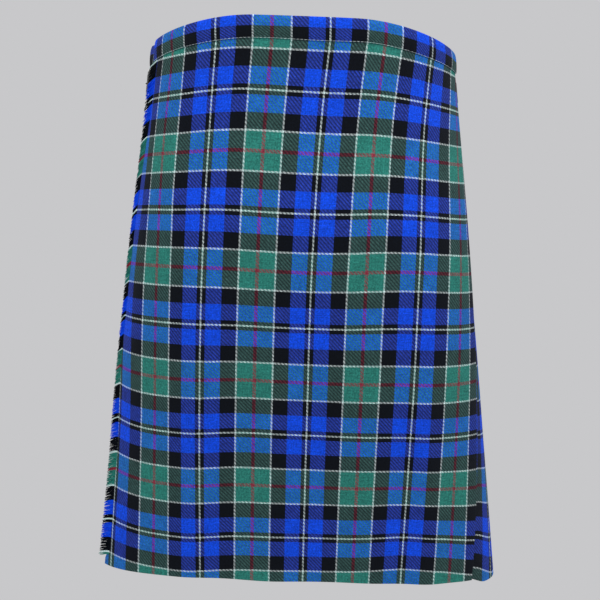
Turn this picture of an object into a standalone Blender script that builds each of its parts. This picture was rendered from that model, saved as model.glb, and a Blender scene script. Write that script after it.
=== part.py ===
"""A man's worn kilt, held at the waist: metres, +Z up, the front towards -Y.

The origin is the centre of the waist opening. Every piece lies on one form, a
rounded section at each height. A place on it is (round, out, drop): the length
round the form from the middle of the front towards +X, the distance out from
its surface, and the share of the way from the top edge down to the hem.
"""

import math

import bmesh
import bpy
import numpy as np

MM = 0.001

# ---- the form, in mm ------------------------------------------------------

LENGTH = 615.0
TOP_DIP = 27.0
HEM_DIP = 9.0
# height, half width, Y of the widest line, front depth, back depth, X of the middle, front squareness
FORM_COLUMNS = ("height", "half_width", "widest_y", "front", "back", "middle_x", "square")
FORM = (
    (0.0, 168.0, 20.0, 149.0, 98.0, 0.0, 2.70),
    (-110.0, 180.0, 8.0, 137.0, 120.0, 2.4, 2.74),
    (-220.0, 191.5, -8.0, 131.0, 146.0, 4.8, 2.78),
    (-335.0, 206.0, -5.5, 126.5, 151.0, 7.2, 2.82),
    (-475.0, 222.5, 1.0, 116.5, 151.0, 9.9, 2.86),
    (-640.0, 241.0, 3.5, 106.5, 155.0, 12.8, 2.90),
)
BACK_SQUARE = 2.2
FORM_STEPS = 360

# ---- the cloth ------------------------------------------------------------

CLOTH = 1.2
SEAM = 0.3
# Mid-surface levels, out from the form, at the top edge and at the hem, where the
# layers hang looser: the over apron, its turned edge, the side panels below it,
# and the under apron.
OVER = -0.6
TURNED = (-2.5, -3.4)
PANEL = (-4.75, -7.2)
UNDER = (-8.6, -12.5)

# ---- the aprons: length round the form from the middle of the front -------

FREE_EDGE_TOP = -180.0
FREE_EDGE_HEM = -230.0
FOLD_EDGE_TOP = 200.0
FOLD_EDGE_HEM = 209.0
FOLD_EDGE_SWELL = 14.0
APRON_COLUMNS = 24
TURN_COLUMNS = 4
UNDER_FIRST = 2.5
UNDER_SETTLED = 10.0
UNDER_LAST = 23.0

# ---- the pleats -----------------------------------------------------------

PLEATS = 22
FIRST_FACE = 70.0
FLAT_FACE = 2.0
LAST_FACE = 45.0
LAST_STEPS = (8.0, 15.0, 22.5, 30.0)
PLEAT_DEPTH = 1.5
STACK_TOP = 1.75
STACK_FELL = 1.9
STACK_HEM = 4.5
FELL_END = 0.34
HAIRPIN = 4.0
SETTLE_HEM = 9.0

# ---- the waistband, straps and buckles ------------------------------------

BAND_HEIGHT = 22.0
BAND_GAP = 1.6
BAND_EASE = 0.15
BAND_FALL = 15.0
LEATHER = 1.8
STRAP_WIDTH = 22.0
STRAP_DROP = 40.0
SLIT_START = 4.0
SLIT_END = 15.5
SLIT_HALF = 13.0
LEFT_HEEL = 28.0
RIGHT_HEEL = -30.0
STRAP_REST = 0.8
SLACK = 0.4
BUCKLE_BAR = 1.3
BUCKLE_LENGTH = 22.0
PRONG_RADIUS = 0.9
TAB_LENGTH = 40.0
TAB_STEPS = (0.37, 0.68, 1.0)
SLOT_END = 4.6
HOLE_START = -10.5
HOLE_END = -2.5
HOLE_HALF = 2.2

# ---- the fringe -----------------------------------------------------------

FRINGE_STRANDS = 100
FRINGE_ROOT = 2.2
FRINGE_LENGTH = 15.0
FRINGE_DROOP = 2.0

# Shares of the way down at which the walls have their rings.
STRAP_ROWS = ((STRAP_DROP - SLIT_HALF) / LENGTH, (STRAP_DROP + SLIT_HALF) / LENGTH)
ROWS = (0.0,) + STRAP_ROWS + (0.19, FELL_END, 0.47, 0.61, 0.75, 0.88, 1.0)


def steady(x, low, high):
    """0 below low, 1 above high, with a soft start and end between."""
    t = np.clip((x - low) / (high - low), 0.0, 1.0)
    return t * t * (3.0 - 2.0 * t)


def mix(a, b, t):
    return a + (b - a) * t


def curve_through(heights, values, height):
    """A smooth curve through a short column of the form's table."""
    slopes = np.gradient(values, heights)
    i = int(np.clip(np.searchsorted(heights, height) - 1, 0, len(heights) - 2))
    step = heights[i + 1] - heights[i]
    t = (height - heights[i]) / step
    start = (2 * t**3 - 3 * t**2 + 1) * values[i] + (t**3 - 2 * t**2 + t) * step * slopes[i]
    end = (3 * t**2 - 2 * t**3) * values[i + 1] + (t**3 - t**2) * step * slopes[i + 1]
    return start + end


def form_at(height):
    """The form's named sizes at one height."""
    table = np.array(FORM)[::-1]
    sizes = {}
    for column, name in enumerate(FORM_COLUMNS[1:], start=1):
        sizes[name] = float(curve_through(table[:, 0], table[:, column], height))
    return sizes


class Section:
    """The form's closed outline at one height, read by its length round."""

    def __init__(self, height):
        size = form_at(height)
        angle = np.linspace(0.0, 2.0 * math.pi, FORM_STEPS + 1)
        front = np.cos(angle) > 0
        square = np.where(front, size["square"], BACK_SQUARE)
        depth = np.where(front, size["front"], size["back"])
        side, along = np.sin(angle), np.cos(angle)
        x = size["half_width"] * np.sign(side) * np.abs(side) ** (2.0 / square)
        y = -depth * np.sign(along) * np.abs(along) ** (2.0 / square)
        self.x = x + size["middle_x"]
        self.y = y + size["widest_y"]
        steps = np.hypot(np.diff(self.x), np.diff(self.y))
        self.round = np.concatenate([[0.0], np.cumsum(steps)])
        self.girth = float(self.round[-1])

    def point(self, length):
        length = length % self.girth
        return np.interp(length, self.round, self.x), np.interp(length, self.round, self.y)

    def place(self, length, out):
        x, y = self.point(length)
        ahead = self.point(length + 1.5)
        behind = self.point(length - 1.5)
        along = np.array([ahead[0] - behind[0], ahead[1] - behind[1]])
        along /= np.linalg.norm(along)
        return x + out * along[1], y - out * along[0]


SECTIONS = {}


def section_at(height):
    key = round(height, 2)
    if key not in SECTIONS:
        SECTIONS[key] = Section(key)
    return SECTIONS[key]


def girth_at(drop):
    """The form's length round at a share of the way down."""
    return section_at(-drop * LENGTH).girth


def height_at(share_round, drop):
    """The cloth's top edge and hem dip at the sides, where the form flares."""
    from_front = min(share_round % 1.0, 1.0 - share_round % 1.0)
    front = steady(from_front, 0.055, 0.245)
    back = steady(0.5 - from_front, 0.0, 0.22)
    dip = front * back
    top = -TOP_DIP * dip
    hem = -LENGTH - HEM_DIP * dip
    return mix(top, hem, drop)


def on_form(length, out, drop):
    """The point in metres at a length round, a distance out and a share down."""
    share = length / girth_at(drop)
    height = float(height_at(share, drop))
    section = section_at(height)
    x, y = section.place(share * section.girth, out)
    return np.array([x, y, height]) * MM


def on_rows(length_at, out, drop):
    """The point on a straight run between the walls' own rings."""
    row = int(np.clip(np.searchsorted(ROWS, drop) - 1, 0, len(ROWS) - 2))
    above, below = ROWS[row], ROWS[row + 1]
    ends = [on_form(length_at(end), out, end) for end in (above, below)]
    return mix(*ends, (drop - above) / (below - above))


def free_edge(drop):
    return mix(FREE_EDGE_TOP, FREE_EDGE_HEM, drop)


def fold_edge(drop):
    return mix(FOLD_EDGE_TOP, FOLD_EDGE_HEM, drop) + FOLD_EDGE_SWELL * 4.0 * drop * (1.0 - drop)


def apron_line(column, drop):
    """The length round of one of the aprons' shared upright lines."""
    return mix(free_edge(drop), fold_edge(drop), column / APRON_COLUMNS)


def stack(drop):
    """The distance between two layers of a pleat: stitched above, hanging open below."""
    fell = mix(STACK_TOP, STACK_FELL, steady(drop, 0.0, FELL_END))
    return mix(fell, STACK_HEM, steady(drop, FELL_END, 1.0))


def panel_level(length, drop):
    """The side panel rises from below the over apron to the first fold."""
    start = fold_edge(drop)
    return mix(mix(*PANEL, drop), OVER, steady(length, start + FLAT_FACE, start + FIRST_FACE))


def settle(length, drop):
    """How much further in the pleats lie at the wearer's right, behind the free edge."""
    return SETTLE_HEM * drop * steady(length / girth_at(drop), 0.52, 0.72)


def panel_steps(drop):
    """The upright lines of the side panel, from the strap's slit to the first fold."""
    edge = fold_edge(drop)
    folds = pleat_folds(drop)
    pitch = folds[1] - folds[0]
    middle = [folds[0] - back * pitch for back in (PLEAT_DEPTH, 1.0, 0.5)]
    return [edge + SLIT_START, edge + SLIT_END] + middle


def pleat_folds(drop):
    """The lengths round of the pleats' outer folds."""
    first = fold_edge(drop) + FIRST_FACE
    last = girth_at(drop) + free_edge(drop) - LAST_FACE
    return np.linspace(first, last, PLEATS)


# ---- making solids --------------------------------------------------------


def clear_scene():
    for item in list(bpy.data.objects):
        bpy.data.objects.remove(item, do_unlink=True)


def linear(channel):
    return channel / 12.92 if channel <= 0.04045 else ((channel + 0.055) / 1.055) ** 2.4


def material(name, colour, roughness, metallic=0.0):
    made = bpy.data.materials.new(name)
    made.use_nodes = True
    shader = made.node_tree.nodes["Principled BSDF"]
    channels = [linear(int(colour[i : i + 2], 16) / 255.0) for i in (1, 3, 5)]
    shader.inputs["Base Color"].default_value = (*channels, 1.0)
    shader.inputs["Roughness"].default_value = roughness
    shader.inputs["Metallic"].default_value = metallic
    return made


def add_object(name, mesh, finish, collection):
    mesh.materials.append(finish)
    made = bpy.data.objects.new(name, mesh)
    collection.objects.link(made)
    return made


def sheet(name, lines, holes=()):
    """An open surface through rows of points. A hole leaves out the cell (row, column)."""
    surface = bmesh.new()
    rows = [[surface.verts.new(point) for point in line] for line in lines]
    for i in range(len(rows) - 1):
        for j in range(len(rows[i]) - 1):
            if (i, j) not in holes:
                surface.faces.new((rows[i][j], rows[i + 1][j], rows[i + 1][j + 1], rows[i][j + 1]))
    bmesh.ops.delete(surface, geom=[v for v in surface.verts if not v.link_faces], context="VERTS")
    mesh = bpy.data.meshes.new(name)
    surface.to_mesh(mesh)
    surface.free()
    return mesh


def wall(name, lines, thickness, finish, collection, holes=()):
    """A wall of even thickness, half to each side of the surface through the lines."""
    made = add_object(name, sheet(name, lines, holes), finish, collection)
    solidify = made.modifiers.new("Thickness", "SOLIDIFY")
    solidify.thickness = thickness * MM
    solidify.offset = 0.0
    solidify.use_even_offset = True
    return made


def rod(name, points, radius, finish, collection, closed=False):
    """A round bar along straight runs between the points."""
    line = bpy.data.curves.new(name, "CURVE")
    line.dimensions = "3D"
    line.bevel_depth = radius * MM
    line.bevel_resolution = 2
    line.use_fill_caps = True
    spline = line.splines.new("POLY")
    spline.points.add(len(points) - 1)
    for target, point in zip(spline.points, points):
        target.co = (*point, 1.0)
    spline.use_cyclic_u = closed
    made = bpy.data.objects.new(name, line)
    line.materials.append(finish)
    collection.objects.link(made)
    return made


# ---- the pieces -----------------------------------------------------------


def over_apron(finish, collection):
    """The front panel: plain at its free edge, turned under at its fold edge."""
    lines = []
    for drop in ROWS:
        path = [(apron_line(j, drop), OVER) for j in range(APRON_COLUMNS + 1)]
        back = range(APRON_COLUMNS, APRON_COLUMNS - TURN_COLUMNS - 1, -1)
        path += [(apron_line(j, drop), mix(*TURNED, drop)) for j in back]
        lines.append([on_form(length, out, drop) for length, out in path])
    return wall("over_apron", lines, CLOTH, finish, collection)


def under_level(column, drop):
    return mix(mix(*PANEL, drop), mix(*UNDER, drop), steady(column, UNDER_FIRST, UNDER_SETTLED))


def under_columns():
    inner = range(math.ceil(UNDER_FIRST), int(UNDER_LAST) + 1)
    return [UNDER_FIRST] + list(inner)


def under_apron(finish, collection):
    """The inner front panel, seamed to the side panel below the over apron."""
    lines = []
    for drop in ROWS:
        path = [(apron_line(j, drop), under_level(j, drop)) for j in under_columns()]
        lines.append([on_form(length, out, drop) for length, out in path])
    return wall("under_apron", lines, CLOTH, finish, collection)


def pleat_path(drop):
    """One section through the pleated back, from the fold edge's turned seam round to
    the under apron's seam: (length round, out) in the order of the cloth."""
    layer = stack(drop)
    folds = pleat_folds(drop)
    pitch = folds[1] - folds[0]
    seam = apron_line(APRON_COLUMNS - TURN_COLUMNS, drop)
    turned, panel = mix(*TURNED, drop), mix(*PANEL, drop)
    path = [(seam - SEAM, turned), (seam - HAIRPIN, turned), (seam - HAIRPIN, panel)]
    for j in range(APRON_COLUMNS - TURN_COLUMNS, APRON_COLUMNS + 1):
        path.append((apron_line(j, drop), panel))
    path += [(length, panel_level(length, drop)) for length in panel_steps(drop)]
    for i, fold in enumerate(folds):
        path.append((fold, OVER - settle(fold, drop)))
        for back in (0.0, 0.5, 1.0, PLEAT_DEPTH):
            length = fold - back * pitch
            level = OVER - layer * (1.0 + 2.0 * back)
            if i == 0:
                level = min(panel_level(length, drop), OVER) - layer
            path.append((length, level - settle(length, drop)))
        for back in (PLEAT_DEPTH, 1.0, 0.5, 0.0, -0.5):
            if i == PLEATS - 1 and back < 0.0:
                continue
            length = fold - back * pitch
            level = OVER - 2.0 * layer * (1.0 + back)
            path.append((length, level - settle(length, drop)))
    last = folds[-1]
    end = girth_at(drop)
    under = [end + apron_line(j, drop) for j in (0, 1, 2)]
    stop = end + apron_line(UNDER_FIRST, drop) - SEAM
    low = OVER - 2.0 * layer - settle(last, drop)
    for length in (*[last + step for step in LAST_STEPS], *under, stop):
        path.append((length, mix(low, panel, steady(length, last, under[0]))))
    return path


def pleated_back(finish, collection):
    """Deep side pleats and knife pleats in one length of cloth, with the strap's slit."""
    lines = []
    for drop in ROWS:
        lines.append([on_form(length, out, drop) for length, out in pleat_path(drop)])
    slit_column = 3 + TURN_COLUMNS + 1
    return wall("pleats", lines, CLOTH, finish, collection, holes={(1, slit_column)})


def band_lines(path_at, height_drops):
    return [[on_form(length, out, drop) for length, out in path_at(drop)] for drop in height_drops]


def waistbands(finish, collection):
    """The strip of the same cloth sewn over the top edge, in three runs with the cloth below."""
    drops = (0.0, 0.5 * BAND_HEIGHT / LENGTH, BAND_HEIGHT / LENGTH)
    lift = CLOTH + SEAM
    over_pleats = lift + BAND_EASE

    def on_over(drop):
        return [(apron_line(j, drop), OVER + lift) for j in range(APRON_COLUMNS + 1)]

    def on_back(drop):
        edge = fold_edge(drop)
        folds = pleat_folds(drop)
        end = girth_at(drop)
        low = OVER - 2.0 * stack(drop) + over_pleats
        panel = mix(*PANEL, drop) + over_pleats
        steps = [edge + BAND_GAP] + panel_steps(drop)
        path = [(length, panel_level(length, drop) + over_pleats) for length in steps]
        path += [(fold, OVER + over_pleats) for fold in folds]
        under = [end + apron_line(j, drop) for j in (0, 1, 2)]
        stop = end + apron_line(UNDER_FIRST, drop) - SEAM
        last = folds[-1]
        for length in (*[last + step for step in LAST_STEPS], *under, stop):
            level = mix(low, panel, steady(length, last, under[0]))
            path.append((length, mix(OVER + over_pleats, level, steady(length, last, last + BAND_FALL))))
        return path

    def on_under(drop):
        return [(apron_line(j, drop), under_level(j, drop) + lift) for j in under_columns()]

    wall("waistband_over", band_lines(on_over, drops), CLOTH, finish, collection)
    wall("waistband_back", band_lines(on_back, drops), CLOTH, finish, collection)
    wall("waistband_under", band_lines(on_under, drops), CLOTH, finish, collection)


def fringe(finish, collection):
    """The frayed free edge: strands drawn from a narrow strip of the same cloth."""
    stations = 2 * FRINGE_STRANDS + 1
    strip = bmesh.new()
    rings = []
    drops = np.linspace(BAND_HEIGHT / LENGTH, 1.0, stations)
    root = SEAM + FRINGE_ROOT
    corners = ((SEAM, 0.5), (root, 0.5), (root, -0.5), (SEAM, -0.5))
    for drop in drops:
        ring = []
        for beyond, side in corners:
            spot = on_rows(lambda end: free_edge(end) - beyond, OVER + side * CLOTH, drop)
            ring.append(strip.verts.new(spot))
        rings.append(ring)
    outer = []
    for above, below in zip(rings, rings[1:]):
        for i in range(4):
            j = (i + 1) % 4
            face = strip.faces.new((above[i], below[i], below[j], above[j]))
            if i == 1:
                outer.append(face)
    strip.faces.new(rings[0])
    strip.faces.new(rings[-1][::-1])
    bmesh.ops.recalc_face_normals(strip, faces=strip.faces)
    for k, face in enumerate(outer[::2]):
        drop = drops[2 * k]
        reach = FRINGE_LENGTH * (1.0 + 0.12 * math.sin(2.4 * k))
        end = min(1.0, drop + FRINGE_DROOP / LENGTH)
        start = on_form(free_edge(drop) - root, OVER, drop)
        tip = on_form(free_edge(drop) - root - reach, OVER, end)
        grown = bmesh.ops.extrude_discrete_faces(strip, faces=[face])["faces"]
        bmesh.ops.translate(strip, verts=grown[0].verts, vec=tip - start)
    mesh = bpy.data.meshes.new("fringe")
    strip.to_mesh(mesh)
    strip.free()
    return add_object("fringe", mesh, finish, collection)


# ---- the straps and buckles -----------------------------------------------


def fastening(side, heel, ahead, start, leather, metal, collection):
    """A strap through a buckle. heel is the heel bar's length round, ahead is the way the
    strap runs (+1 or -1), and start is its path up to the buckle, as (length round, out)."""
    down_at = STRAP_DROP / LENGTH
    layer = LEATHER + SEAM
    tab_low = STRAP_REST + 0.5 * LEATHER
    turn = BUCKLE_BAR + SEAM + 0.5 * LEATHER
    centre = tab_low + turn
    outer_bar = -BUCKLE_LENGTH

    def spot(along, out, down=0.0):
        return on_form(heel + ahead * along, out, down_at + down / LENGTH)

    def strip(name, path, width, holes=()):
        half = 0.5 * width
        downs = (-half, -HOLE_HALF, HOLE_HALF, half)
        lines = [[spot(along, out, down) for along, out in path] for down in downs]
        wall(name, lines, LEATHER, leather, collection, {(1, j) for j in holes})

    def about_bar(radius, degrees):
        angle = math.radians(degrees)
        return radius * math.cos(angle), centre + radius * math.sin(angle)

    far = [(share * TAB_LENGTH, tab_low) for share in TAB_STEPS]
    low = far[::-1] + [(SLOT_END, tab_low)]
    bend = [about_bar(turn, degrees) for degrees in (270, 225, 180, 135, 90)]
    high = [(SLOT_END, centre + turn)] + [(along, out + layer) for along, out in far]
    slot = range(len(far), len(far) + len(bend) + 1)
    strip("buckle_tab_" + side, low + bend + high, STRAP_WIDTH - 1.0, slot)

    above = centre + turn + layer
    strap = [((length - heel) * ahead, out) for length, out in start]
    strap += [(outer_bar - 6.0, tab_low), (outer_bar + 3.0, tab_low)]
    strap += [(HOLE_START, tab_low + 1.9), (HOLE_END, above), (SLOT_END, above)]
    on_tab = tab_low + 2.0 * layer + SLACK
    strap += [(along, on_tab) for along, out in far]
    strip("strap_" + side, strap, STRAP_WIDTH, [len(start) + 2])

    half = 0.5 * STRAP_WIDTH + 4.0
    corner = 3.0
    outline = [(0.0, half - corner), (-corner, half), (outer_bar + corner, half)]
    outline.append((outer_bar, half - corner))
    outline += [(along, -down) for along, down in outline[::-1]]
    frame = [spot(along, centre, down) for along, down in outline]
    rod("buckle_" + side, frame, BUCKLE_BAR, metal, collection, closed=True)
    round_bar = BUCKLE_BAR + SEAM + PRONG_RADIUS
    prong = [about_bar(round_bar, degrees) for degrees in (225, 270, 315, 360, 405, 450)]
    prong.append((outer_bar - 1.0, centre + round_bar))
    rod("prong_" + side, [spot(*place) for place in prong], PRONG_RADIUS, metal, collection)


def fastenings(leather, metal, collection):
    """The under apron's strap comes out through the slit at the wearer's left, and the over
    apron's strap runs from behind its free edge to the wearer's right hip."""
    drop = STRAP_DROP / LENGTH
    lift = 0.5 * CLOTH + SEAM + 0.5 * LEATHER
    edge = fold_edge(drop)
    inside = under_level(UNDER_LAST, drop) + lift
    left = [(apron_line(j, drop), inside) for j in (20, 21, 22, 23, 24)]
    left.append((edge + SLIT_START + 2.0, inside))
    for length in (edge + SLIT_END - 2.5, edge + 0.4 * FIRST_FACE, edge + 0.7 * FIRST_FACE):
        left.append((length, panel_level(length, drop) + lift + SLACK))
    left_heel = edge + FIRST_FACE + LEFT_HEEL
    fastening("left", left_heel, 1.0, left, leather, metal, collection)

    girth = girth_at(drop)
    last = pleat_folds(drop)[-1]
    behind = OVER - lift - 0.5 * SLACK
    right = [(girth + apron_line(j, drop), behind) for j in (2, 1, 0)]
    over_fold = STRAP_REST + 0.5 * LEATHER
    rise = (0.6 * over_fold, 0.4 * behind, behind, behind)
    right += [(last + step, out) for step, out in zip(LAST_STEPS[::-1], rise[::-1])]
    right.append((last + 2.0, over_fold))
    fastening("right", last + RIGHT_HEEL, -1.0, right, leather, metal, collection)


def build():
    clear_scene()
    kilt = bpy.data.collections.new("kilt")
    bpy.context.scene.collection.children.link(kilt)
    tartan = material("tartan_over", "#2A4C8C", 0.9)
    tartan_under = material("tartan_under", "#244078", 0.9)
    tartan_back = material("tartan_back", "#2F5A7A", 0.9)
    leather = material("black_leather", "#1B1A19", 0.5)
    metal = material("nickel", "#B8B8B4", 0.3, metallic=1.0)
    over_apron(tartan, kilt)
    under_apron(tartan_under, kilt)
    pleated_back(tartan_back, kilt)
    waistbands(tartan, kilt)
    fringe(tartan, kilt)
    fastenings(leather, metal, kilt)


build()
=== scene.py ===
"""A man's tartan kilt in its worn form, empty and held at the waist, in metres with +Z up.

Each section below makes one piece of the kilt in the order it is put together:
its sizes, colours, mesh and finish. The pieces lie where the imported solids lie.
"""

import math

import bpy
import numpy as np
from mathutils import Matrix, Vector


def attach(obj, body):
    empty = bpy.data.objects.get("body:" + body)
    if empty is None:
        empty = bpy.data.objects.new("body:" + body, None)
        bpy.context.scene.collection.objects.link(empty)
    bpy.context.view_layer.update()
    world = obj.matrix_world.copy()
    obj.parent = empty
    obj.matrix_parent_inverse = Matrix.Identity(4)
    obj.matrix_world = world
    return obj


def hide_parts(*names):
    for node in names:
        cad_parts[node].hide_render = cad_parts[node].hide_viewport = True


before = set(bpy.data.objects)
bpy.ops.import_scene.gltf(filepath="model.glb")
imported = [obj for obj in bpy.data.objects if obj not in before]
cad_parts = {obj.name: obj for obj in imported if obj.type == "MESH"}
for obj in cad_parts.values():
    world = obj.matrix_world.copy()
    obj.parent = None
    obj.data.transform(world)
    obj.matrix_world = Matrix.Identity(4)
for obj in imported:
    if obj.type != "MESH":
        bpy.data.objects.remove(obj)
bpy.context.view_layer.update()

# ---- studio ---------------------------------------------------------------------
# A pale grey paper sweep runs round and below the kilt. Large soft panels stand above
# its front, one side and its back, so no hard shadow falls on the cloth. The camera
# stands 1.25 m in front of the middle, a hand below the waist, and looks slightly down.

LENS = 64.46
SENSOR = 36.0
CAMERA_SPOT = (-0.0076, -1.2538, -0.1199)
CAMERA_TURNS = ((-0.011, "Z"), (-0.151, "X"), (-0.036, "Y"), (0.5 * math.pi, "X"))
PAPER = "#C8C8CA"
SWEEP_RADIUS = 9.0
SWEEP_BEND = 3.0
SWEEP_FLOOR = -1.25
SWEEP_TOP = 9.0
SWEEP_SIDES = 96
AIR = "#F2F4FF"
AIR_STRENGTH = 0.4
LIT_SPOT = (0.0, 0.0, -0.3)
# name, place, size, power in watts
PANELS = (
    ("front_panel", (-0.6, -1.2, 1.2), 1.3, 19.0),
    ("side_panel", (1.3, -0.6, 0.9), 1.0, 11.0),
    ("back_panel", (-0.6, 2.4, 1.6), 2.2, 19.0),
)


def linear(code):
    """The linear colour of an sRGB hex code, with full alpha."""
    channels = [int(code[i : i + 2], 16) / 255.0 for i in (1, 3, 5)]
    curved = [c / 12.92 if c <= 0.04045 else ((c + 0.055) / 1.055) ** 2.4 for c in channels]
    return (*curved, 1.0)


def add(tree, kind, feeds=(), **settings):
    """Adds a node. A feed is a value, an output, or a node for its first live output."""
    made = tree.nodes.new("ShaderNode" + kind)
    for key, value in settings.items():
        setattr(made, key, value)
    for key, value in dict(feeds).items():
        if isinstance(value, bpy.types.Node):
            value = next(output for output in value.outputs if output.enabled)
        if isinstance(value, bpy.types.NodeSocket):
            tree.links.new(value, made.inputs[key])
        else:
            made.inputs[key].default_value = value
    return made


def new_finish(name):
    """A new material and its node tree, empty."""
    made = bpy.data.materials.new(name)
    made.use_nodes = True
    made.node_tree.nodes.clear()
    return made, made.node_tree


def new_mesh(name, points, faces):
    made = bpy.data.meshes.new(name)
    made.from_pydata(points, [], faces)
    return made


def new_object(name, data):
    made = bpy.data.objects.new(name, data)
    bpy.context.scene.collection.objects.link(made)
    return made


def tube_faces(base, rings, sides, joined=False, capped=True):
    """The faces of a tube through rings of points, which are numbered on from base."""
    faces = []
    for ring in range(rings if joined else rings - 1):
        a, b = base + sides * ring, base + sides * ((ring + 1) % rings)
        for c in range(sides):
            d = (c + 1) % sides
            faces.append((a + c, a + d, b + d, b + c))
    if capped:
        faces.append(tuple(range(base, base + sides))[::-1])
        faces.append(tuple(range(base + sides * (rings - 1), base + sides * rings)))
    return faces


camera = new_object("camera", bpy.data.cameras.new("camera"))
camera.data.lens = LENS
camera.data.sensor_width = SENSOR
placed = Matrix.Translation(CAMERA_SPOT)
for angle, axis in CAMERA_TURNS:
    placed = placed @ Matrix.Rotation(angle, 4, axis)
camera.matrix_world = placed
bpy.context.scene.camera = camera
bpy.context.scene.view_settings.view_transform = "Standard"

# Matt paper, so evenly lit that it shows neither a shine nor the line where it bends.
paper, tree = new_finish("matt_grey_paper")
glow = add(tree, "Emission", {"Color": linear(PAPER), "Strength": 1.0})
add(tree, "OutputMaterial", {"Surface": glow})

sweep_line = [
    (
        SWEEP_RADIUS - SWEEP_BEND * (1.0 - math.sin(angle)),
        SWEEP_FLOOR + SWEEP_BEND * (1.0 - math.cos(angle)),
    )
    for angle in np.linspace(0.0, 0.5 * math.pi, 9)
]
sweep_line.append((SWEEP_RADIUS, SWEEP_TOP))
corners = [
    (reach * math.cos(angle), reach * math.sin(angle), height)
    for reach, height in sweep_line
    for angle in np.arange(SWEEP_SIDES) * 2.0 * math.pi / SWEEP_SIDES
]
floor = tuple(range(SWEEP_SIDES))
walls = tube_faces(0, len(sweep_line), SWEEP_SIDES, capped=False)
sweep = new_object("paper_sweep", new_mesh("paper_sweep", corners, [floor, *walls]))
sweep.data.materials.append(paper)

world = bpy.data.worlds.new("studio_air")
world.use_nodes = True
world.node_tree.nodes["Background"].inputs["Color"].default_value = linear(AIR)
world.node_tree.nodes["Background"].inputs["Strength"].default_value = AIR_STRENGTH
bpy.context.scene.world = world
for name, spot, size, power in PANELS:
    lamp = new_object(name, bpy.data.lights.new(name, "AREA"))
    lamp.data.size = size
    lamp.data.energy = power
    lamp.location = spot
    toward = Vector(LIT_SPOT) - Vector(spot)
    lamp.rotation_euler = toward.to_track_quat("-Z", "Y").to_euler()

# ---- over apron -----------------------------------------------------------------
# The front panel is one flat width of worsted wool twill. Its lower edge is the
# cloth's own selvedge, so the kilt has no hem. At the wearer's left it turns under
# on itself, and at the wearer's right it ends in a raw edge that carries the fringe.

# Sizes from here on are in mm, and shares of the way down run from the top edge to the
# hem. A pair is the value at the top edge and the value at the hem.
MM = 0.001
LENGTH = 615.0
TOP_DIP = 27.0
HEM_DIP = 9.0
# The edges dip at the hips: between these shares of the girth from the front and back.
DIP_FROM_FRONT = (0.055, 0.245)
DIP_FROM_BACK = (0.0, 0.22)
# height, half width, Y of the widest line, front depth, back depth, X of the middle,
# squareness of the front
FORM = np.array(
    [
        (-640.0, 241.0, 3.5, 106.5, 155.0, 12.8, 2.90),
        (-475.0, 222.5, 1.0, 116.5, 151.0, 9.9, 2.86),
        (-335.0, 206.0, -5.5, 126.5, 151.0, 7.2, 2.82),
        (-220.0, 191.5, -8.0, 131.0, 146.0, 4.8, 2.78),
        (-110.0, 180.0, 8.0, 137.0, 120.0, 2.4, 2.74),
        (0.0, 168.0, 20.0, 149.0, 98.0, 0.0, 2.70),
    ]
)
BACK_SQUARE = 2.2
FORM_STEP = 5.0
FORM_HEIGHTS = np.arange(-650.0, 15.0, FORM_STEP)
FORM_SHARES = np.linspace(0.0, 1.0, 1441)
DIRECTION_STEP = 1.5


def knot_weights(knots, at):
    """How much each knot's value counts at a place on the smooth curve through them."""
    knots = np.asarray(knots, float)
    at = np.asarray(at, float)
    i = np.clip(np.searchsorted(knots, at) - 1, 0, len(knots) - 2)
    step = knots[i + 1] - knots[i]
    t = (at - knots[i]) / step
    s = np.clip(t, 0.0, 1.0)
    weights = []
    for unit_at in np.eye(len(knots)):
        slope = np.gradient(unit_at, knots)
        value = (2 * s**3 - 3 * s**2 + 1) * unit_at[i] + (s**3 - 2 * s**2 + s) * step * slope[i]
        value = value + (3 * s**2 - 2 * s**3) * unit_at[i + 1] + (s**3 - s**2) * step * slope[i + 1]
        value = value + np.minimum(t, 0.0) * step * slope[i]
        weights.append(value + np.maximum(t - 1.0, 0.0) * step * slope[i + 1])
    return np.stack(weights, -1)


def form_outlines():
    """The form's girth, and its X and Y by the share of the way round, at each height."""
    sizes = knot_weights(FORM[:, 0], FORM_HEIGHTS) @ FORM[:, 1:]
    angle = np.linspace(0.0, 2.0 * math.pi, 361)
    side, along = np.sin(angle), np.cos(angle)
    girths, xs, ys = [], [], []
    for half_width, widest_y, front, back, middle_x, square in sizes:
        power = 2.0 / np.where(along > 0, square, BACK_SQUARE)
        depth = np.where(along > 0, front, back)
        x = half_width * np.sign(side) * np.abs(side) ** power + middle_x
        y = -depth * np.sign(along) * np.abs(along) ** power + widest_y
        round_at = np.concatenate([[0.0], np.cumsum(np.hypot(np.diff(x), np.diff(y)))])
        girths.append(round_at[-1])
        xs.append(np.interp(FORM_SHARES * round_at[-1], round_at, x))
        ys.append(np.interp(FORM_SHARES * round_at[-1], round_at, y))
    return np.array(girths), np.array(xs), np.array(ys)


GIRTHS, FORM_X, FORM_Y = form_outlines()


def steady(x, low, high):
    """Rises smoothly from 0 to 1 between two values."""
    t = np.clip((x - low) / (high - low), 0.0, 1.0)
    return t * t * (3.0 - 2.0 * t)


def swell(x, start, full, fade, end):
    """Rises smoothly from 0 to 1, stays there, and falls back to 0."""
    return steady(x, start, full) * (1.0 - steady(x, fade, end))


def mix(a, b, t):
    return a + (b - a) * t


def girth_at(drop):
    """The length round the form at a share of the way down."""
    return np.interp(-np.asarray(drop) * LENGTH, FORM_HEIGHTS, GIRTHS)


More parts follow.
